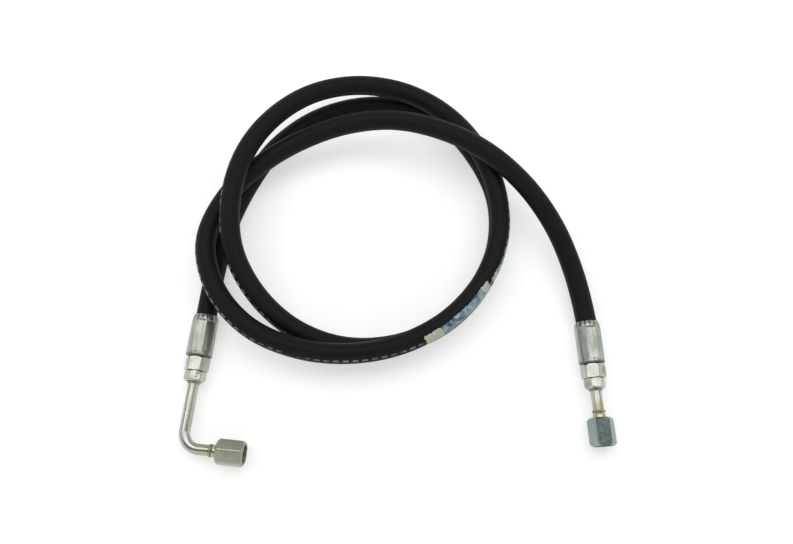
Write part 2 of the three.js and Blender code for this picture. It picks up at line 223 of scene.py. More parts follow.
FITTING_HEIGHT = 0.0094
ELBOW_MOUTH = np.array([-0.1419, 0.0539, FITTING_HEIGHT])
ELBOW_LEAN = np.radians(-5.9)
STRAIGHT_MOUTH = np.array([0.1406, 0.0488, FITTING_HEIGHT])
STRAIGHT_LEAN = np.radians(3.2)
HOSE_DIAMETER = 0.015
BRAID_DIAMETER = 0.0127
BRAID_WALL = 0.0008
HOSE_BORE = 0.0079
HOSE_DEPTH = 0.0265  # of the hose inside each ferrule
LAYER_GAP = 0.0003
ROUTE_STEPS = 40  # between two points of the route
HOSE_ROUTE = np.array([
    # First turn, on the floor.
    (-137.8, 90.1, 9), (-130.8, 127.5, 8), (-116.6, 162.9, 8), (-96.2, 195.5, 8),
    (-66.5, 219.8, 8), (-30, 231.8, 8), (8, 229.8, 8), (41.8, 212.7, 8), (64.7, 182.9, 8),
    (77.8, 148.1, 8), (76.5, 109.8, 8), (61, 74.8, 8), (34, 47.8, 8), (-1, 32.8, 8),
    (-39.5, 30.8, 10),
    # It climbs on the left, crosses over, and runs as the outer strand at the top.
    (-75.5, 43.3, 14.5), (-103.6, 67.7, 22), (-121, 100.3, 30.5), (-123.6, 137.7, 37.5),
    (-115.1, 173.3, 39.5), (-96.3, 204.9, 36.5), (-67.8, 228.8, 32), (-32, 239.3, 28),
    (5.6, 234.8, 25), (38.2, 215.9, 24),
    # Second turn, on top of the first.
    (62.5, 186.3, 23.5), (76, 150.8, 23.5), (76.6, 112.4, 23.5), (63, 76.8, 23.5),
    (37.5, 48.3, 23.5), (3.5, 29.8, 23.5), (-34, 22.8, 23.5), (-72, 26.8, 23.5),
    (-107.3, 42.3, 24), (-133, 70.8, 25), (-143, 107.8, 24.5), (-131, 143.5, 23.5),
    (-105.9, 170.9, 24.5),
    # The inner strand at the top, which crosses both turns and drops to the straight fitting.
    (-74.4, 190.7, 27), (-39.1, 202.2, 31), (-2.2, 203.3, 36), (33.9, 193, 39.5),
    (67.3, 175, 39.5), (96.2, 150.5, 33), (118.5, 121.3, 22.5), (133, 87.1, 13.5),
]) / 1000


def fitting_axis(lean):
    """The direction in which a fitting runs away from its hose: down the picture, leaning."""
    return np.array([np.sin(lean), -np.cos(lean), 0.0])


def smooth_route(points, per_span):
    """A centripetal Catmull-Rom curve through the points: each span is the cubic whose end slopes
    come from the neighbouring points, with knots spaced by the square root of their distance."""
    padded = np.vstack([2 * points[0] - points[1], points, 2 * points[-1] - points[-2]])
    before, start, end, after = padded[:-3], padded[1:-2], padded[2:-1], padded[3:]
    knot_a = np.linalg.norm(start - before, axis=1)[:, None] ** 0.5
    knot_b = np.linalg.norm(end - start, axis=1)[:, None] ** 0.5
    knot_c = np.linalg.norm(after - end, axis=1)[:, None] ** 0.5
    chord = (end - start) / knot_b
    slope_in = (start - before) / knot_a - (end - before) / (knot_a + knot_b) + chord
    slope_out = chord - (after - start) / (knot_b + knot_c) + (after - end) / knot_c
    slope_in, slope_out = slope_in * knot_b, slope_out * knot_b
    t = np.linspace(0, 1, per_span, endpoint=False)[None, :, None]
    c0, c1, m0, m1 = start[:, None], end[:, None], slope_in[:, None], slope_out[:, None]
    curve = (
        c0 + m0 * t + (3 * (c1 - c0) - 2 * m0 - m1) * t**2 + (2 * (c0 - c1) + m0 + m1) * t**3
    )
    return np.vstack([curve.reshape(-1, 3), points[-1:]])


def evenly(points, count):
    """The same line as `count` points at equal distances along it, and those distances."""
    reach = np.concatenate([[0], np.cumsum(np.linalg.norm(np.diff(points, axis=0), axis=1))])
    at = np.linspace(0, reach[-1], count)
    return np.stack([np.interp(at, reach, points[:, k]) for k in range(3)], axis=1), at


def route_of_hose():
    """The centreline, from inside the elbow's ferrule to inside the straight fitting's."""
    depths = np.array([HOSE_DEPTH, HOSE_DEPTH / 2, 0])[:, None]
    elbow_end = ELBOW_MOUTH + depths * fitting_axis(ELBOW_LEAN)
    straight_end = STRAIGHT_MOUTH + depths[::-1] * fitting_axis(STRAIGHT_LEAN)
    return smooth_route(np.vstack([elbow_end, HOSE_ROUTE, straight_end]), ROUTE_STEPS)


def frames_along(line):
    """At each point of a line, the level direction to its right, and its own up."""
    ahead = np.gradient(line, axis=0)
    ahead /= np.linalg.norm(ahead, axis=1)[:, None]
    right = np.cross(ahead, (0, 0, 1))
    right /= np.linalg.norm(right, axis=1)[:, None]
    return right, np.cross(right, ahead)


def spokes(right, up, angle):
    """Unit vectors square to a line: cos angle up + sin angle to the left."""
    return np.cos(angle)[..., None] * up - np.sin(angle)[..., None] * right


def tube_rings(line, radius, angle):
    """Rings of one radius round a line."""
    right, up = frames_along(line)
    return line[:, None] + radius * spokes(right[:, None], up[:, None], angle)


def ring_skin(name, rings, along, around):
    """A closed skin over rings of points. Ring i joins ring i + 1 and the last joins the first,
    so a wall has an outside and a bore. The UV map holds `along` and `around` in metres."""
    rows, columns = rings.shape[:2]
    row, column = np.meshgrid(np.arange(rows), np.arange(columns), indexing="ij")
    next_row, next_column = (row + 1) % rows, (column + 1) % columns
    corners = [(row, column), (row, next_column), (next_row, next_column), (next_row, column)]
    faces = np.stack([r * columns + c for r, c in corners], axis=-1).reshape(-1, 4)
    vertices = rings.reshape(-1, 3)
    seam = np.concatenate([around, 2 * around[-1:] - around[-2:-1]])
    end = np.concatenate([along, along[-1:]])
    across = np.stack([seam[column], seam[column + 1], seam[column + 1], seam[column]], axis=-1)
    down = np.stack([end[row], end[row], end[row + 1], end[row + 1]], axis=-1)
    uv = np.stack([down, across], axis=-1).reshape(-1, 4, 2)
    a, b, c, d = (vertices[faces[:, k]] for k in range(4))
    if np.einsum("ij,ij->", a, np.cross(b, c) + np.cross(c, d)) < 0:
        faces, uv = faces[:, ::-1], uv[:, ::-1]
    mesh = bpy.data.meshes.new(name)
    mesh.vertices.add(len(vertices))
    mesh.vertices.foreach_set("co", vertices.astype(np.float32).ravel())
    mesh.loops.add(faces.size)
    mesh.loops.foreach_set("vertex_index", faces.astype(np.int32).ravel())
    mesh.polygons.add(len(faces))
    mesh.polygons.foreach_set("loop_start", np.arange(0, faces.size, 4, dtype=np.int32))
    mesh.polygons.foreach_set("use_smooth", np.ones(len(faces), dtype=bool))
    mesh.uv_layers.new(name="skin").data.foreach_set("uv", uv.astype(np.float32).ravel())
    mesh.update(calc_edges=True)
    mesh.validate()
    return placed(name, mesh)


def hose_layer(name, line, outer, inner, sides, rows):
    """One layer of the hose as a tube with a bore: rings out along the line, then back inside."""
    route, reach = evenly(line, rows)
    angle = np.linspace(0, 2 * np.pi, sides, endpoint=False)
    back = slice(None, None, -4)  # the bore takes every fourth point, from the far end
    outside = tube_rings(route, outer, angle)
    inside = tube_rings(route[back], inner, angle)
    along = np.concatenate([reach, reach[back]])
    return ring_skin(name, np.concatenate([outside, inside]), along, angle * outer), route


def mapped(tree, scale=(1, 1, 1)):
    """The skin's own UV map, scaled, as a vector."""
    uv = tree.nodes.new("ShaderNodeUVMap")
    uv.uv_map = "skin"
    mapping = tree.nodes.new("ShaderNodeMapping")
    mapping.inputs["Scale"].default_value = scale
    tree.links.new(uv.outputs["UV"], mapping.inputs["Vector"])
    return mapping.outputs["Vector"]


def skin_place(tree):
    """How far along and around a skin a point lies, in metres."""
    split = tree.nodes.new("ShaderNodeSeparateXYZ")
    tree.links.new(mapped(tree), split.inputs[0])
    return split.outputs["X"], split.outputs["Y"]


def noise(tree, vector, scale, detail=3.0, roughness=0.55):
    """Fractal noise over a vector, as its factor socket."""
    node = tree.nodes.new("ShaderNodeTexNoise")
    node.inputs["Scale"].default_value = scale
    node.inputs["Detail"].default_value = detail
    node.inputs["Roughness"].default_value = roughness
    tree.links.new(vector, node.inputs["Vector"])
    return node.outputs["Fac"]


def ranged(tree, value, low, high):
    """A 0 to 1 value spread over low..high."""
    node = tree.nodes.new("ShaderNodeMapRange")
    node.inputs["To Min"].default_value = low
    node.inputs["To Max"].default_value = high
    tree.links.new(value, node.inputs["Value"])
    return node.outputs["Result"]


def bumped(tree, height, strength, distance):
    """A height turned into a normal."""
    node = tree.nodes.new("ShaderNodeBump")
    node.inputs["Strength"].default_value = strength
    node.inputs["Distance"].default_value = distance
    tree.links.new(height, node.inputs["Height"])
    return node.outputs["Normal"]


DASH_ANGLE = np.radians(60)  # from the top of the hose towards the outside of the coil
DASH_WIDTH = 0.0019
DASH_PITCH, DASH_SHARE = 0.0066, 0.6
DASH_FROM, DASH_TO = 0.60, 1.46  # along the hose


def cover_material():
    """Black rubber with the faint weave of the cloth that it was cured in, dusty in places, and a
    worn row of pale dashes along the outside of the coil."""
    material, tree, shader = new_material("cover_rubber", (0.005, 0.0055, 0.0055), 0.6)
    shader.inputs["Specular IOR Level"].default_value = 0.16
    links = tree.links
    place = object_place(tree)
    dust = ramp(tree, noise(tree, place, 26, 5, 0.6), 0.42, 0.78)
    grain = noise(tree, place, 900, 2, 0.5)
    colour = mixed(tree, dust, (0.0034, 0.0039, 0.0039), (0.0075, 0.0084, 0.0084))
    along, around = skin_place(tree)
    off_line = sums(tree, "SUBTRACT", around, DASH_ANGLE * HOSE_DIAMETER / 2)
    step = sums(tree, "FRACT", sums(tree, "DIVIDE", along, DASH_PITCH))
    dash = ramp(tree, noise(tree, place, 55, 2, 0.5), 0.36, 0.60)
    for limit in (
        sums(tree, "LESS_THAN", sums(tree, "ABSOLUTE", off_line), DASH_WIDTH / 2),
        sums(tree, "LESS_THAN", step, DASH_SHARE),
        sums(tree, "GREATER_THAN", along, DASH_FROM),
        sums(tree, "LESS_THAN", along, DASH_TO),
    ):
        dash = sums(tree, "MULTIPLY", dash, limit)
    links.new(mixed(tree, dash, colour, (0.24, 0.25, 0.245)), shader.inputs["Base Color"])
    links.new(ranged(tree, dust, 0.52, 0.74), shader.inputs["Roughness"])
    weave = tree.nodes.new("ShaderNodeTexWave")
    weave.bands_direction = "DIAGONAL"
    weave.inputs["Scale"].default_value = 520
    weave.inputs["Distortion"].default_value = 0.6
    links.new(mapped(tree), weave.inputs["Vector"])
    height = sums(tree, "ADD", sums(tree, "MULTIPLY", weave.outputs["Fac"], 0.35), grain)
    links.new(bumped(tree, height, 0.25, 0.00012), shader.inputs["Normal"])
    return material


BRAID_ANGLE = np.radians(54.7)  # at which pressure neither stretches nor shortens a braid


def braid_material():
    """Fine wire in crossing bands, brass-coated."""
    material, tree, shader = new_material("braid_wire", (0.45, 0.38, 0.26), 0.35, 1.0)
    links = tree.links
    heights = []
    for lean in (BRAID_ANGLE, -BRAID_ANGLE):
        wire = tree.nodes.new("ShaderNodeTexWave")
        wire.inputs["Scale"].default_value = 330
        turn = tree.nodes.new("ShaderNodeMapping")
        turn.inputs["Rotation"].default_value = (0, 0, lean)
        links.new(mapped(tree), turn.inputs["Vector"])
        links.new(turn.outputs["Vector"], wire.inputs["Vector"])
        heights.append(wire.outputs["Fac"])
    over = sums(tree, "MAXIMUM", *heights)
    colour = mixed(tree, over, (0.10, 0.08, 0.05), (0.55, 0.47, 0.33))
    links.new(colour, shader.inputs["Base Color"])
    links.new(bumped(tree, over, 0.8, 0.0002), shader.inputs["Normal"])
    return material


def lining_material():
    """Smooth black rubber, slightly glossy."""
    material, tree, shader = new_material("lining_rubber", (0.015, 0.014, 0.013), 0.45)
    height = noise(tree, object_place(tree), 700, 2)
    tree.links.new(bumped(tree, height, 0.15, 0.0001), shader.inputs["Normal"])
    return material


def dress(piece, material, body, node):
    """Puts a finished piece on its body in place of its CAD node, with its material."""
    piece.data.materials.append(material)
    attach(piece, body)
    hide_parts(node)


FILM_LINE_POINTS = 6000
FILM_ROWS, FILM_COLUMNS = 240, 40
FILM_LIFT, FILM_THICKNESS = 0.00002, 0.00008
FILM_SIDE_WAVES, FILM_END_WAVES = (310, 710, 1730), (7, 17, 41)
FILM_NEAR_RAGGED, FILM_FAR_RAGGED = 0.07, 0.05  # radians
FILM_END_RAGGED = 0.0008
FILM_CREAM_MIDDLES = (1.1250, 1.1360)  # of the cream ends that meet, along the hose
FILM_CREAM_HALF = 0.0036
FILM_CREAM_START = 1.1795  # of the cream end farthest from the elbow


def film_strip(name, line, start, end, near, far, twist):
    """A thin blank film on the cover, as an open grid that Solidify gives its thickness. It runs
    from start to end along the hose and from the angle near to the angle far, in degrees from the
    top towards the outside of the coil, and it turns by `twist` on the way. Its four edges wander
    by sums of sines."""
    near, far, twist = np.radians((near, far, twist))
    dense, reach = evenly(line, FILM_LINE_POINTS)
    down = np.linspace(0, 1, FILM_ROWS)
    across = np.linspace(0, 1, FILM_COLUMNS)
    along = start + (end - start) * down
    side_wave = sum(np.sin(wave * along + wave) for wave in FILM_SIDE_WAVES) / 3
    end_wave = sum(np.sin(wave * across + wave) for wave in FILM_END_WAVES) / 3
    place = along[:, None] + FILM_END_RAGGED * end_wave * (2 * down[:, None] - 1) ** 5
    low = near + twist * down + FILM_NEAR_RAGGED * side_wave
    high = far + twist * down - FILM_FAR_RAGGED * np.roll(side_wave, FILM_ROWS // 4)
    angle = low[:, None] + (high - low)[:, None] * across
    right, up = frames_along(dense)
    centre, right, up = (
        np.stack([np.interp(place, reach, rows[:, k]) for k in range(3)], axis=-1)
        for rows in (dense, right, up)
    )
    points = centre + (HOSE_DIAMETER / 2 + FILM_LIFT) * spokes(right, up, angle)
    corner = np.arange(FILM_ROWS * FILM_COLUMNS).reshape(FILM_ROWS, FILM_COLUMNS)
    corners = [corner[:-1, :-1], corner[1:, :-1], corner[1:, 1:], corner[:-1, 1:]]
    faces = np.stack(corners, axis=-1).reshape(-1, 4)
    mesh = bpy.data.meshes.new(name)
    mesh.from_pydata(points.reshape(-1, 3), [], faces)
    uv = np.stack([place, angle * HOSE_DIAMETER / 2], axis=-1).reshape(-1, 2)[faces.ravel()]
    mesh.uv_layers.new(name="skin").data.foreach_set("uv", uv.astype(np.float32).ravel())
    mesh.polygons.foreach_set("use_smooth", np.ones(len(faces), dtype=bool))
    piece = placed(name, mesh)
    skin = piece.modifiers.new("thickness", "SOLIDIFY")
    skin.thickness = FILM_THICKNESS
    skin.offset = 1
    return piece


def film_material():
    """Blank plastic film: milky blue-grey and mottled where it has lifted and trapped dirt, and
    cream at its ends."""
    material, tree, shader = new_material("blank_film", (0.20, 0.25, 0.28), 0.42)
    place = object_place(tree)
    coarse = noise(tree, place, 170, 5, 0.70)
    scuffed = ramp(tree, coarse, 0.40, 0.61, ((0.035, 0.085, 0.120), (0.46, 0.55, 0.61)))
    fine = ramp(tree, noise(tree, place, 900, 3, 0.6), 0.30, 0.70, ((0.62, 0.66, 0.68), (1, 1, 1)))
    blue = mixed(tree, 1.0, scuffed, fine, "MULTIPLY")
    cream = mixed(tree, 1.0, (0.60, 0.62, 0.48), fine, "MULTIPLY")
    wander = ranged(tree, noise(tree, place, 300, 2), -0.0025, 0.0025)
    along = sums(tree, "ADD", skin_place(tree)[0], wander)
    at_end = sums(tree, "GREATER_THAN", along, FILM_CREAM_START)
    for middle in FILM_CREAM_MIDDLES:
        off = sums(tree, "ABSOLUTE", sums(tree, "SUBTRACT", along, middle))
        at_end = sums(tree, "MAXIMUM", at_end, sums(tree, "LESS_THAN", off, FILM_CREAM_HALF))
    colour = mixed(tree, at_end, blue, cream)
    tree.links.new(colour, shader.inputs["Base Color"])
    tree.links.new(bumped(tree, coarse, 0.35, 0.0004), shader.inputs["Normal"])
    return material


def lay_hose():
    """The three layers and the films, each round the same line."""
    line = route_of_hose()
    braid_inner = BRAID_DIAMETER / 2 - BRAID_WALL
    cover, route = hose_layer(
        "hose_cover_rubber", line, HOSE_DIAMETER / 2, BRAID_DIAMETER / 2 + LAYER_GAP,
        sides=48, rows=1100,
    )
    braid, _ = hose_layer(
        "hose_braid_wires", line, BRAID_DIAMETER / 2, braid_inner, sides=24, rows=500
    )
    lining, _ = hose_layer(
        "hose_lining", line, braid_inner - LAYER_GAP, HOSE_BORE / 2, sides=24, rows=500
    )
    dress(cover, cover_material(), "root", "hose_cover")
    dress(braid, braid_material(), "root", "hose_wire_braid")
    dress(lining, lining_material(), "root", "hose_inner_tube")
    films = [
        film_strip("film_main", line, start=1.132, end=1.193, near=18, far=88, twist=4),
        film_strip("film_scrap", line, start=1.096, end=1.129, near=68, far=116, twist=-26),
    ]
    blank = film_material()
    for film in films:
        film.data.materials.append(blank)
        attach(film, "root")


lay_hose()

# ---- Ferrules ----------------------------------------------------------------------------------
# A plated steel shell that eight dies have squeezed onto each end of the hose. They leave shallow
# flats with a narrow ridge between two of them, and gather the drawn-in mouth into small folds.

TURN = np.linspace(0, 2 * np.pi, 288, endpoint=False)  # round a fitting, from the top
DIES = 8
CRIMP_FROM, CRIMP_TO = 4.8, 28.2
CRIMP_LEAD, CRIMP_RUN = 0.8, 1.4  # it starts this far outside them and sinks in over this length
MOUTH_FROM, MOUTH_RUN = 0.8, 4.6  # where the folds start to fade, and over what length
FERRULE_RADIUS = 9.4
FLAT_RADIUS = 8.95
FLAT_SHARE = 0.65  # 0 would leave the flats round, and 1 would make them plane
RIDGE_WIDTH, RIDGE_HEIGHT = np.radians(2.2), 0.16
FOLD_WIDTH = np.radians(2.6)


def fitting_frame(origin, axis):
    """The frame that a fitting is drawn in: its origin, its +X to the side and its +Y axis."""
    return origin, np.cross(axis, (0, 0, 1)), axis


def eased(corners, fillet=0.15, steps=3):
    """A closed profile of (radius, y, fineness) corners, each rounded by a quadratic curve, with
    one more point close by on either side so that the flats between them shade flat."""
    corner = np.array(corners, dtype=float)
    before = corner - np.roll(corner, 1, axis=0)
    after = np.roll(corner, -1, axis=0) - corner
    before_length = np.linalg.norm(before[:, :2], axis=1)[:, None]
    after_length = np.linalg.norm(after[:, :2], axis=1)[:, None]
    reach = np.minimum(fillet, 0.4 * np.minimum(before_length, after_length))
    back, on = reach * before / before_length, reach * after / after_length
    back[:, 2], on[:, 2] = 0, 0
    t = np.linspace(0, 1, steps)[None, :, None]
    corner_row = corner[:, None]
    curve = (
        (1 - t) ** 2 * (corner_row - back[:, None])
        + 2 * t * (1 - t) * corner_row
        + t**2 * (corner_row + on[:, None])
    )
    close = [(corner - 1.2 * back)[:, None], curve, (corner + 1.2 * on)[:, None]]
    return np.concatenate(close, axis=1).reshape(-1, 3)


def finely(profile, radial=0.08, axial=1.2):
    """The profile with more rows where its fineness is above zero: `fineness` rows for each
    radial or axial step of the segment, whichever gives more."""
    closed = np.vstack([profile, profile[:1]])
    reach = np.abs(np.diff(closed[:, :2], axis=0)) / (radial, axial)
    fineness = np.minimum(closed[:-1, 2], closed[1:, 2])
    rows = np.ceil(fineness * reach.max(axis=1)).clip(1)
    place = np.concatenate([[0], np.cumsum(rows)])
    at = np.arange(place[-1])
    return np.stack([np.interp(at, place, closed[:, k]) for k in range(3)], axis=1)


def turned_skin(name, place, profile, radius=None, angle=TURN):
    """A closed profile in mm turned about the +Y axis of a frame. `radius`, if given, is the
    shaped distance from the axis for every row and angle."""
    origin, side, axis = place
    if radius is None:
        radius = np.broadcast_to(profile[:, :1], (len(profile), len(angle)))
    spoke = np.cos(angle)[:, None] * np.array([0, 0, 1]) + np.sin(angle)[:, None] * side
    rings = origin + (profile[:, 1, None, None] * axis + radius[..., None] * spoke) / 1000
    steps = np.linalg.norm(np.diff(profile[:, :2], axis=0), axis=1)
    along = np.concatenate([[0], np.cumsum(steps)]) / 1000
    return ring_skin(name, rings, along, angle * profile[:, 0].max() / 1000)


def smooth_step(value):
    """0 below 0, 1 above 1, and an S-curve between."""
    value = np.clip(value, 0, 1)
    return value * value * (3 - 2 * value)


def crimped(profile, fold_depth):
    """What eight dies leave of a turned shell. `off` is the angle from the middle of a flat. The
    mouth is gathered into twice as many folds."""
    pitch = 2 * np.pi / DIES
    off = np.abs((TURN / pitch + 0.5) % 1 - 0.5) * pitch
    ridge = np.exp(-(((pitch / 2 - off) / RIDGE_WIDTH) ** 2))
    fold = np.exp(-(((pitch / 4 - np.abs(off - pitch / 4)) / FOLD_WIDTH) ** 2))
    squeezed = FLAT_RADIUS / np.cos(FLAT_SHARE * off) + RIDGE_HEIGHT * ridge
    radius, y, outside = profile[:, :1], profile[:, 1:2], profile[:, 2:] > 0
    sunk = smooth_step((y - CRIMP_FROM + CRIMP_LEAD) / CRIMP_RUN)
    share = sunk * smooth_step((CRIMP_TO + CRIMP_LEAD - y) / CRIMP_RUN)
    drawn = 1 - smooth_step((y - MOUTH_FROM) / MOUTH_RUN)
    shaped = radius - share * (FERRULE_RADIUS - squeezed) - fold_depth * drawn * fold
    return np.where(outside, shaped, radius)


FERRULE_PROFILE = [
    (7.8, 0, 0), (8.3, 0, 3), (9.1, 2.2, 3), (9.4, 4.4, 3), (9.4, 30.3, 3), (8.9, 30.8, 3),
    (5.3, 30.8, 0), (5.3, 28, 0),
    (8.4, 28, 0), (8.4, 24.1, 0), (7.8, 22.1, 0), (8.4, 18.2, 0), (7.8, 16.2, 0),
    (8.4, 12.3, 0), (7.8, 10.3, 0), (8.4, 6.4, 0), (7.8, 4.4, 0),
]


def cloudy_plate():
    """The finish that every plated piece shares, as a node group: a passivated film that lies in
    clouds between two colours, over metal that carries fine lengthwise streaks."""
    group = bpy.data.node_groups.new("cloudy_plate", "ShaderNodeTree")
    sockets = (
        ("Bright", "INPUT", "NodeSocketColor"), ("Stain", "INPUT", "NodeSocketColor"),
        ("Streaks", "INPUT", "NodeSocketFloat"), ("Film", "OUTPUT", "NodeSocketColor"),
        ("Cloud", "OUTPUT", "NodeSocketFloat"), ("Streak", "OUTPUT", "NodeSocketFloat"),
    )
    for name, way, kind in sockets:
        group.interface.new_socket(name, in_out=way, socket_type=kind)
    given = group.nodes.new("NodeGroupInput").outputs
    made = group.nodes.new("NodeGroupOutput").inputs
    cloud = ramp(group, noise(group, object_place(group), 95, 5, 0.62), 0.38, 0.66)
    streak = noise(group, mapped(group, (45, 1500, 1)), 1, 3, 0.6)
    film = mixed(group, sums(group, "MULTIPLY", cloud, 0.7), given["Bright"], given["Stain"])
    dark = mixed(group, ramp(group, streak, 0.36, 0.62), (0.50, 0.56, 0.52), (1, 1, 1))
    film = mixed(group, given["Streaks"], film, mixed(group, 1.0, film, dark, "MULTIPLY"))
    for socket, value in (("Film", film), ("Cloud", cloud), ("Streak", streak)):
        group.links.new(value, made[socket])
    return group


CLOUDY_PLATE = cloudy_plate()


def plated(name, bright, stain, roughness, streaks):
    """A metal in the shared plated finish: the material, its tree and shader, and the colour of
    its film, for more to be laid over it."""
    material, tree, shader = new_material(name, bright, roughness, 1.0)
    plate = tree.nodes.new("ShaderNodeGroup")
    plate.node_tree = CLOUDY_PLATE
    plate.inputs["Bright"].default_value = (*bright, 1)
    plate.inputs["Stain"].default_value = (*stain, 1)
    plate.inputs["Streaks"].default_value = streaks
    film, cloud, streak = (plate.outputs[socket] for socket in ("Film", "Cloud", "Streak"))
    clouded = ranged(tree, cloud, roughness - 0.05, roughness + 0.09)
    rough = sums(tree, "ADD", clouded, ranged(tree, streak, -0.05, 0.05))
    tree.links.new(rough, shader.inputs["Roughness"])
    tree.links.new(bumped(tree, streak, 0.35 * streaks, 0.00006), shader.inputs["Normal"])
    tree.links.new(film, shader.inputs["Base Color"])
    return material, tree, shader, film


FALLING = ((1, 1, 1), (0, 0, 0))  # a mask that is 1 below its range and 0 above
DECIMETRES = 10  # in a metre. A ramp ends at 1, so places along a skin are told in decimetres.
MOUTH_ALONG, END_ALONG = (0.036, 0.056), (0.300, 0.308)


def ferrule_material():
    """The shared plate with what the crimp adds: broad lengthwise bands, blue-green where the film
    is thick and warm where it is rubbed, darker colour in the folds of the mouth, and painted shade
    on the end edge where it meets the stem."""
    material, tree, shader, film = plated(
        "ferrule_plate", (0.52, 0.53, 0.49), (0.39, 0.41, 0.36), roughness=0.33, streaks=1.0
    )
    along, around = skin_place(tree)
    band = noise(tree, mapped(tree, (14, 480, 1)), 1, 3, 0.65)
    thick = mixed(tree, 1.0, film, (0.60, 0.76, 0.72), "MULTIPLY")
    rubbed = mixed(tree, 1.0, film, (1.0, 0.93, 0.76), "MULTIPLY")
    film = mixed(tree, ramp(tree, band, 0.32, 0.46, FALLING), film, rubbed)
    film = mixed(tree, ramp(tree, band, 0.52, 0.68), film, thick)
    pitch = 2 * np.pi * FERRULE_RADIUS / 1000 / (2 * DIES)
    phase = sums(tree, "FRACT", sums(tree, "ADD", sums(tree, "DIVIDE", around, pitch), 0.5))
    off = sums(tree, "ABSOLUTE", sums(tree, "SUBTRACT", phase, 0.5))
    gathered = ramp(tree, off, 0.10, 0.26, FALLING)
    far = sums(tree, "MULTIPLY", along, DECIMETRES)
    in_mouth = ramp(tree, far, *MOUTH_ALONG, FALLING)
    # The folds of the mouth are darkened.
    dirt = sums(tree, "MULTIPLY", sums(tree, "MULTIPLY", gathered, in_mouth), 0.85)
    # Painted shade: the end edge, where the ferrule meets the stem, is darkened in patches; worn
    # only breaks it up.
    worn = ranged(tree, noise(tree, object_place(tree), 330, 3), 0.3, 0.9)
    edge = sums(tree, "MULTIPLY", ramp(tree, far, *END_ALONG), worn)
    film = mixed(tree, sums(tree, "MAXIMUM", dirt, edge), film, (0.05, 0.055, 0.05))
    tree.links.new(film, shader.inputs["Base Color"])
    return material


STRAIGHT = fitting_frame(STRAIGHT_MOUTH, fitting_axis(STRAIGHT_LEAN))
ELBOW = fitting_frame(ELBOW_MOUTH, fitting_axis(ELBOW_LEAN))
ferrule_plate = ferrule_material()
ferrule_rows = finely(eased(FERRULE_PROFILE))
for side, place, fold_depth in (("elbow", ELBOW, 0.36), ("straight", STRAIGHT, 0.15)):
    ferrule_radius = crimped(ferrule_rows, fold_depth)
    ferrule = turned_skin(side + "_crimped_shell", place, ferrule_rows, ferrule_radius)
    dress(ferrule, ferrule_plate, "root", side + "_ferrule")

# ---- Stems -------------------------------------------------------------------------------------
# The insert that the hose is crimped onto: a barbed tail, a groove that takes the ferrule's end
# wall, and a 16 mm hexagon bored out for the tube.

CORNER_POWER, EDGE_POWER = 60, 150  # the higher, the sharper


def hexed(profile, flats, roll):
    """The profile cut by six flats. A high power mean stands for the sharp minimum of the turned
    radius and the hexagon, so that every edge comes out slightly broken."""
    normal = roll + np.arange(6)[:, None] * np.pi / 3
    six = (np.cos(TURN - normal).clip(0) ** CORNER_POWER).sum(axis=0)
    hexagon = flats / 2 / six ** (1 / CORNER_POWER)
    radius = profile[:, :1]
    smallest = np.minimum(radius, hexagon)
    share = (smallest / radius) ** EDGE_POWER + (smallest / hexagon) ** EDGE_POWER
    return smallest * share ** (-1 / EDGE_POWER)


FREE_SHARE = 0.445  # radius of a turned end face over the width across flats
BUTT_SHARE = 0.51  # and where a hexagon butts against its neighbour
CORNER_TURNED = 0.035  # of a corner's radius, turned off
HEX_CHAMFER = np.radians(42)


def hexagon_corners(flats, start, length, start_share, end_share):
    """The turned outline of a hexagon whose corners are chamfered down to end faces of the given
    shares."""
    corner = flats / np.sqrt(3) * (1 - CORNER_TURNED)
    start_face, end_face = flats * start_share, flats * end_share
    slope = np.tan(HEX_CHAMFER)
    end = start + length
    return [
        (start_face, start, 1), (corner, start + (corner - start_face) * slope, 1),
        (corner, end - (corner - end_face) * slope, 1), (end_face, end, 1),
    ]


STEM_FLATS, STEM_HEX_START, STEM_HEX_LENGTH = 16, 31.6, 10
BARBS, BARB_START, BARB_PITCH = 5, 2.5, 4.56
BARB_RISE = 0.85  # of its pitch


def stem_corners():
    """From the tip of the tail, over five barbs, the flange, the groove and the hexagon, and back
    through the tube socket and the bore."""
    barbs = []
    for barb_y in BARB_START + BARB_PITCH * np.arange(BARBS):
        barbs += [(3.2, barb_y, 0), (3.65, barb_y + BARB_PITCH * BARB_RISE, 0)]
    flange = [(3.2, 25.3, 0), (3.2, 26.8, 0), (6.6, 26.8, 0), (6.6, 27.6, 0)]
    groove = [(5, 27.6, 0), (5, STEM_HEX_START, 0)]
    hexagon = hexagon_corners(STEM_FLATS, STEM_HEX_START, STEM_HEX_LENGTH, BUTT_SHARE, BUTT_SHARE)
    bore = [(4.3, 41.6, 0), (4.3, 35.6, 0), (2.5, 35.6, 0), (2.5, BARB_START, 0)]
    return barbs + flange + groove + hexagon + bore


NOSE_X, NOSE_Y = -20.6, 95.9  # the back of the nose, in the elbow fitting's own frame
STRAIGHT_NOSE_Y = 65.2


def on_fitting(place, x, y, z=0.0):
    """Points of a fitting's own frame, in mm, as points of the shared one."""
    origin, side, axis = place
    x, y = np.asarray(x)[..., None], np.asarray(y)[..., None]
    return origin + (x * side + y * axis + z * np.array([0, 0, 1])) / 1000


def smudge_and_shade(tree, film, place, reach, colour, share):
    """The film with a soft patch of another colour round a point of the shared frame. Its edge
    wanders, and it fades out over the outer part of its reach."""
    away = tree.nodes.new("ShaderNodeVectorMath")
    away.operation = "DISTANCE"
    tree.links.new(object_place(tree), away.inputs[0])
    away.inputs[1].default_value = place
    ragged = ranged(tree, noise(tree, object_place(tree), 420, 3, 0.6), -0.6 * reach, 0.6 * reach)
    off = sums(tree, "ADD", away.outputs["Value"], ragged)
    return mixed(tree, faded(tree, off, reach, 0.45 * reach, high=share), film, colour)


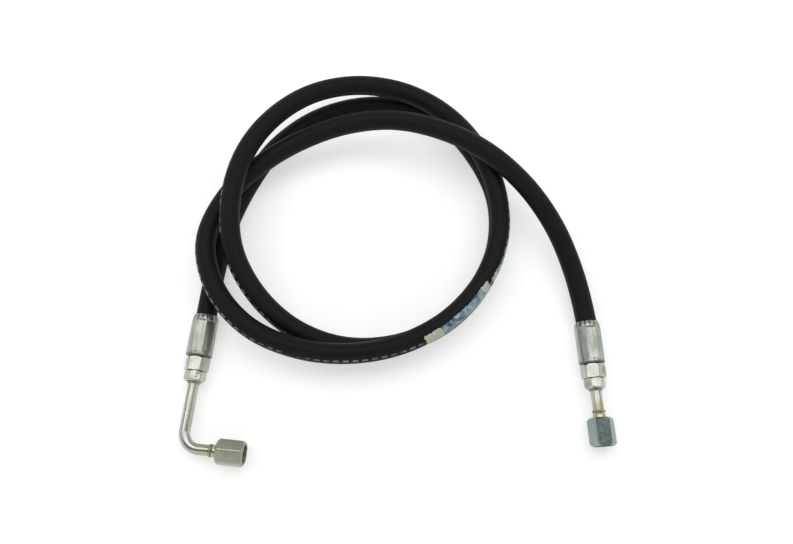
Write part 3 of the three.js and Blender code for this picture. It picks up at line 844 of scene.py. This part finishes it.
def fitting_material():
    """Bright plate with the marks of handling and of brazing: tan smudges and dark spots on the
    hexagons and a golden heat tint round both noses; with painted shade on a side flat of the
    straight stem and of its collar, and painted shadow where each stem leaves its ferrule."""
    material, tree, shader, film = plated(
        "fitting_plate", (0.53, 0.535, 0.49), (0.44, 0.44, 0.385), roughness=0.23, streaks=0.4
    )
    for place, reach, colour, share in (
        (on_fitting(ELBOW, 0, 37, 8), 0.0095, (0.41, 0.41, 0.365), 0.80),
        # Painted shade: dark olive patches on the straight stem's upper left flat and on its
        # collar's right flat.
        (on_fitting(STRAIGHT, -6.6, 36.5, 4.5), 0.0042, (0.25, 0.26, 0.19), 0.75),
        (on_fitting(STRAIGHT, 6.2, 46, 3), 0.0040, (0.27, 0.29, 0.23), 0.75),
        (on_fitting(ELBOW, 4.6, 35.5, 8), 0.0046, (0.34, 0.325, 0.23), 0.80),
        (on_fitting(ELBOW, 3.8, 38.5, 8), 0.0024, (0.36, 0.345, 0.25), 0.60),
        (on_fitting(ELBOW, -3.4, 43.2, 6.3), 0.0020, (0.14, 0.17, 0.12), 0.85),
        (on_fitting(ELBOW, -2.6, 46.2, 6.6), 0.0013, (0.16, 0.19, 0.14), 0.80),
        (on_fitting(ELBOW, NOSE_X + 2, NOSE_Y), 0.0125, (0.40, 0.37, 0.24), 0.65),
        (on_fitting(STRAIGHT, 0, STRAIGHT_NOSE_Y + 1), 0.0105, (0.42, 0.37, 0.22), 0.70),
        # Painted shadow: near-black spots in the gap where each stem leaves its ferrule.
        (on_fitting(ELBOW, 5.4, 31.9, 5.5), 0.0016, (0.03, 0.03, 0.03), 0.80),
        (on_fitting(STRAIGHT, 5.6, 31.9, 5.2), 0.0022, (0.02, 0.02, 0.02), 0.90),
    ):
        film = smudge_and_shade(tree, film, place, reach, colour, share)
    tree.links.new(film, shader.inputs["Base Color"])
    return material


fitting_plate = fitting_material()
stem_rows = finely(eased(stem_corners()))
for side, place, roll in (("elbow", ELBOW, 0), ("straight", STRAIGHT, np.radians(18))):
    stem_radius = hexed(stem_rows, STEM_FLATS, roll)
    stem = turned_skin(side + "_barbed_stem", place, stem_rows, stem_radius)
    dress(stem, fitting_plate, "root", side + "_stem")

# ---- Collars -----------------------------------------------------------------------------------
# A shorter 14 mm hexagon that is slid over the tube and backs its joint with the stem.

COLLAR_FLATS, COLLAR_START, COLLAR_LENGTH = 14, 41.9, 7.3
collar_outside = hexagon_corners(COLLAR_FLATS, COLLAR_START, COLLAR_LENGTH, BUTT_SHARE, FREE_SHARE)
collar_rows = finely(eased(collar_outside + [(4.3, 49.2, 0), (4.3, COLLAR_START, 0)]))
for side, place, roll in (("elbow", ELBOW, np.radians(-15)), ("straight", STRAIGHT, 0)):
    collar_radius = hexed(collar_rows, COLLAR_FLATS, roll)
    collar = turned_skin(side + "_hex_collar", place, collar_rows, collar_radius)
    dress(collar, fitting_plate, "root", side + "_tube_collar")

# ---- Tubes -------------------------------------------------------------------------------------
# Plain 8 mm tube. The straight one is a short stub, and the elbow's runs on and sweeps through a
# quarter circle to its coupling.

TUBE_OUTER, TUBE_INNER = 0.004, 0.003
TUBE_EDGE = 0.00015  # broken off its ends
TUBE_SIDES = 72
TUBE_START = 35.9
STRAIGHT_TUBE_END = 64.9
ELBOW_LEG = 83.9
BEND_RADIUS = 12
ELBOW_TAIL = 8.3  # of tube after the bend
LEG_POINTS, BEND_POINTS, TAIL_POINTS = 40, 60, 6


def bent_line():
    """The elbow tube's centreline: its leg, a quarter circle and its short tail."""
    sweep = np.linspace(0, np.pi / 2, BEND_POINTS)
    leg = np.linspace(TUBE_START, ELBOW_LEG, LEG_POINTS, endpoint=False)
    tail = np.linspace(0, ELBOW_TAIL, TAIL_POINTS)[1:]
    bend_x = BEND_RADIUS * (np.cos(sweep) - 1)
    bend_y = ELBOW_LEG + BEND_RADIUS * np.sin(sweep)
    x = np.concatenate([0 * leg, bend_x, -BEND_RADIUS - tail])
    y = np.concatenate([leg, bend_y, 0 * tail + ELBOW_LEG + BEND_RADIUS])
    return on_fitting(ELBOW, x, y)


def tube_skin(name, line):
    """A tube round a line, with its bore and its two end faces."""
    angle = np.linspace(0, 2 * np.pi, TUBE_SIDES, endpoint=False)
    reach = np.concatenate([[0], np.cumsum(np.linalg.norm(np.diff(line, axis=0), axis=1))])
    order = np.concatenate([[0], np.arange(len(line)), [-1, -1], np.arange(len(line))[::-1], [0]])
    radius = np.full(len(order), TUBE_OUTER)
    radius[len(line) + 2:] = TUBE_INNER
    radius[[0, len(line) + 1]] = TUBE_OUTER - TUBE_EDGE
    right, up = (way[order, None] for way in frames_along(line))
    rings = line[order, None] + radius[:, None, None] * spokes(right, up, angle)
    return ring_skin(name, rings, reach[order], angle * TUBE_OUTER)


stub_y = np.linspace(TUBE_START, STRAIGHT_TUBE_END, LEG_POINTS)
stub = tube_skin("straight_stub", on_fitting(STRAIGHT, 0 * stub_y, stub_y))
dress(stub, fitting_plate, "root", "straight_tube")
dress(tube_skin("elbow_bent_tube", bent_line()), fitting_plate, "root", "elbow_tube")

# ---- Brazes ------------------------------------------------------------------------------------
# Golden braze metal: a fillet where the tube enters its collar, and a low bead round the butt
# joint between the tube and the nose.

elbow_coupling = fitting_frame(on_fitting(ELBOW, NOSE_X, NOSE_Y), -ELBOW[1])
straight_coupling = fitting_frame(on_fitting(STRAIGHT, 0, STRAIGHT_NOSE_Y), STRAIGHT[2])
FILLET_PROFILE = [(4.3, 49.5, 0), (5.2, 49.5, 0), (4.7, 49.9, 0), (4.55, 50.7, 0), (4.3, 50.7, 0)]
BEAD_PROFILE = [(4.3, -0.8, 0), (4.55, -0.8, 0), (4.8, 0, 0), (4.55, 0.8, 0), (4.3, 0.8, 0)]
BRAZE_OUTSIDE = 4.5  # the radius beyond which a braze's rows are uneven


def run_by_hand(profile):
    """The outside of a braze, uneven as the metal flowed: two sines of the angle."""
    wander = 0.05 * np.sin(3 * TURN + 0.6) + 0.035 * np.sin(7 * TURN + 2.1)
    return profile[:, :1] + wander * (profile[:, :1] > BRAZE_OUTSIDE)


braze_metal, *_ = plated(
    "braze_metal", (0.40, 0.37, 0.28), (0.26, 0.23, 0.15), roughness=0.36, streaks=0.3
)
for form, joint, profile, elbow_place, straight_place in (
    ("_fillet", "_collar_braze", FILLET_PROFILE, ELBOW, STRAIGHT),
    ("_bead", "_nose_braze", BEAD_PROFILE, elbow_coupling, straight_coupling),
):
    braze_rows = eased(profile)
    for side, place in (("elbow", elbow_place), ("straight", straight_place)):
        braze = turned_skin(side + form, place, braze_rows, run_by_hand(braze_rows))
        dress(braze, braze_metal, "root", side + joint)

# ---- Noses and O-rings -------------------------------------------------------------------------
# The turned nose that the nut pulls into its seat: a flared neck, a shoulder that holds the nut,
# and a 24 degree cone with an O-ring in its groove.

NUT_START = 4.6
COLLET_LENGTH, COLLET_RADIUS = 3.6, 5.6  # of the nut's narrow end, up to its 45 degree face
NECK_RADIUS = 4.9
SEAT_GAP = 0.3  # square to that face
SHOULDER_START = NUT_START + COLLET_LENGTH - (COLLET_RADIUS - NECK_RADIUS) + SEAT_GAP * np.sqrt(2)
SHOULDER_RISE, SHOULDER_LAND = 1.1, 2
CONE_START = SHOULDER_START + SHOULDER_RISE + SHOULDER_LAND
CONE_RADIUS, CONE_LENGTH, CONE_SLOPE = 5, 5.8, np.tan(np.radians(12))
GROOVE_FROM, GROOVE_TO = 1.4, 3.6  # along the cone
GROOVE_START, GROOVE_END = CONE_START + GROOVE_FROM, CONE_START + GROOVE_TO
NOSE_PROFILE = [
    (3, 0, 0), (4, 0, 0), (4.05, 1, 0), (4.55, 2.4, 0), (NECK_RADIUS, 4.6, 0),
    (NECK_RADIUS, SHOULDER_START, 0), (6, SHOULDER_START + SHOULDER_RISE, 0), (6, CONE_START, 0),
    (CONE_RADIUS, CONE_START, 0), (CONE_RADIUS - GROOVE_FROM * CONE_SLOPE, GROOVE_START, 0),
    (3.65, GROOVE_START, 0), (3.65, GROOVE_END, 0),
    (CONE_RADIUS - GROOVE_TO * CONE_SLOPE, GROOVE_END, 0),
    (CONE_RADIUS - CONE_LENGTH * CONE_SLOPE, CONE_START + CONE_LENGTH, 0),
    (3, CONE_START + CONE_LENGTH, 0),
]
RING_RADIUS, RING_HALF = 4.7, 0.75  # of its middle, and half its thickness
ring_turn = np.linspace(0, 2 * np.pi, 24, endpoint=False)
ring_radius = RING_RADIUS + RING_HALF * np.cos(ring_turn)
ring_y = (GROOVE_START + GROOVE_END) / 2 + RING_HALF * np.sin(ring_turn)
ring_rows = np.stack([ring_radius, ring_y, 0 * ring_turn], axis=1)
half_turn = TURN[::2]
ring_rubber, ring_tree, ring_shader = new_material("ring_rubber", (0.012, 0.012, 0.012), 0.32)
ring_height = noise(ring_tree, object_place(ring_tree), 1500, 2)
ring_tree.links.new(bumped(ring_tree, ring_height, 0.1, 0.00005), ring_shader.inputs["Normal"])
for side, place in (("elbow", elbow_coupling), ("straight", straight_coupling)):
    nose = turned_skin(side + "_turned_nose", place, eased(NOSE_PROFILE), angle=half_turn)
    dress(nose, fitting_plate, "root", side + "_nose_cone")
    ring = turned_skin(side + "_seal", place, ring_rows, angle=half_turn)
    dress(ring, ring_rubber, "root", side + "_o_ring")

# ---- Swivel nuts -------------------------------------------------------------------------------
# A 17 mm hexagon nut, M14 x 1.5, on each coupling. It bears on the nose's shoulder with a 45 degree
# face and is free to turn.

NUT_FLATS, NUT_END = 17, 24.4
THREAD_DEPTH, THREAD_PITCH = 0.78, 1.5
THREAD_FROM, THREAD_TO = 11.7, 24.1
THREAD_ROWS = 10  # the fineness of the threaded rows
NUT_PROFILE = hexagon_corners(NUT_FLATS, NUT_START, NUT_END - NUT_START, FREE_SHARE, FREE_SHARE) + [
    (6.7, NUT_END, 0), (6.2, 23.9, THREAD_ROWS), (6.2, 11.5, THREAD_ROWS), (7.1, 11.5, 0),
    (7.1, 9.7, 0), (COLLET_RADIUS, 8.2, 0), (COLLET_RADIUS, NUT_START, 0),
]


def threaded(profile, radius):
    """A right-hand thread cut into the rows of the nut's bore. A tooth is a triangle wave, steeper
    and cut off below and above, and the thread runs out at both ends."""
    y = profile[:, 1:2]
    turn = (y / THREAD_PITCH - TURN / (2 * np.pi)) % 1
    tooth = np.clip(1.4 * (1 - np.abs(2 * turn - 1)) - 0.2, 0, 1)
    fade = smooth_step((y - THREAD_FROM) / 0.6) * smooth_step((THREAD_TO - y) / 0.9)
    return radius + (profile[:, 2:] > THREAD_ROWS / 2) * THREAD_DEPTH * tooth * fade


nut_rows = finely(eased(NUT_PROFILE))
NUT_END_ALONG = 0.215  # where the open end face begins along the skin, in decimetres
NUT_END_EASE = 0.004


def nut_material(bright, stain, roll, reflection_darkness):
    """The shared plate, satin and greener, with a painted dark reflection, mottled blue-black, on
    the top flat, and the grease of the thread on the open end."""
    material, tree, shader, film = plated("nut_plate", bright, stain, roughness=0.33, streaks=0.25)
    along, around = skin_place(tree)
    turn = sums(tree, "SUBTRACT", sums(tree, "DIVIDE", around, nut_rows[:, 0].max() / 1000), roll)
    # Painted reflection: the top flat darkened to a mottled blue-black, as if it mirrored a dark
    # room overhead.
    on_top_flat = ramp(tree, sums(tree, "COSINE", turn), 0.850, 0.885)
    patches = noise(tree, object_place(tree), 380, 4, 0.65)
    mottle = ramp(tree, patches, 0.28, 0.56, ((0.45, 0.45, 0.45), (1, 1, 1)))
    painted_reflection_share = sums(tree, "MULTIPLY", sums(tree, "MULTIPLY", on_top_flat, mottle), reflection_darkness)
    film = mixed(tree, painted_reflection_share, film, (0.070, 0.088, 0.092))
    reach = sums(tree, "MULTIPLY", along, DECIMETRES)
    open_end = ramp(tree, reach, NUT_END_ALONG - NUT_END_EASE, NUT_END_ALONG + NUT_END_EASE)
    greasy = ramp(tree, noise(tree, object_place(tree), 240, 3, 0.6), 0.42, 0.60)
    grease = sums(tree, "MULTIPLY", sums(tree, "MULTIPLY", open_end, greasy), 0.85)
    tree.links.new(mixed(tree, grease, film, (0.045, 0.050, 0.035)), shader.inputs["Base Color"])
    return material


for side, place, roll, bright, stain, reflection_darkness in (
    # Only the straight nut takes the painted dark reflection on its top flat.
    ("elbow", elbow_coupling, 23, (0.38, 0.40, 0.33), (0.33, 0.34, 0.25), 0.0),
    ("straight", straight_coupling, 4, (0.31, 0.36, 0.34), (0.27, 0.31, 0.30), 0.75),
):
    nut_plate = nut_material(bright, stain, np.radians(roll), reflection_darkness)
    nut_radius = threaded(nut_rows, hexed(nut_rows, NUT_FLATS, np.radians(roll)))
    nut = turned_skin(side + "_hex_nut", place, nut_rows, nut_radius)
    dress(nut, nut_plate, side + "_nut", side + "_swivel_nut")
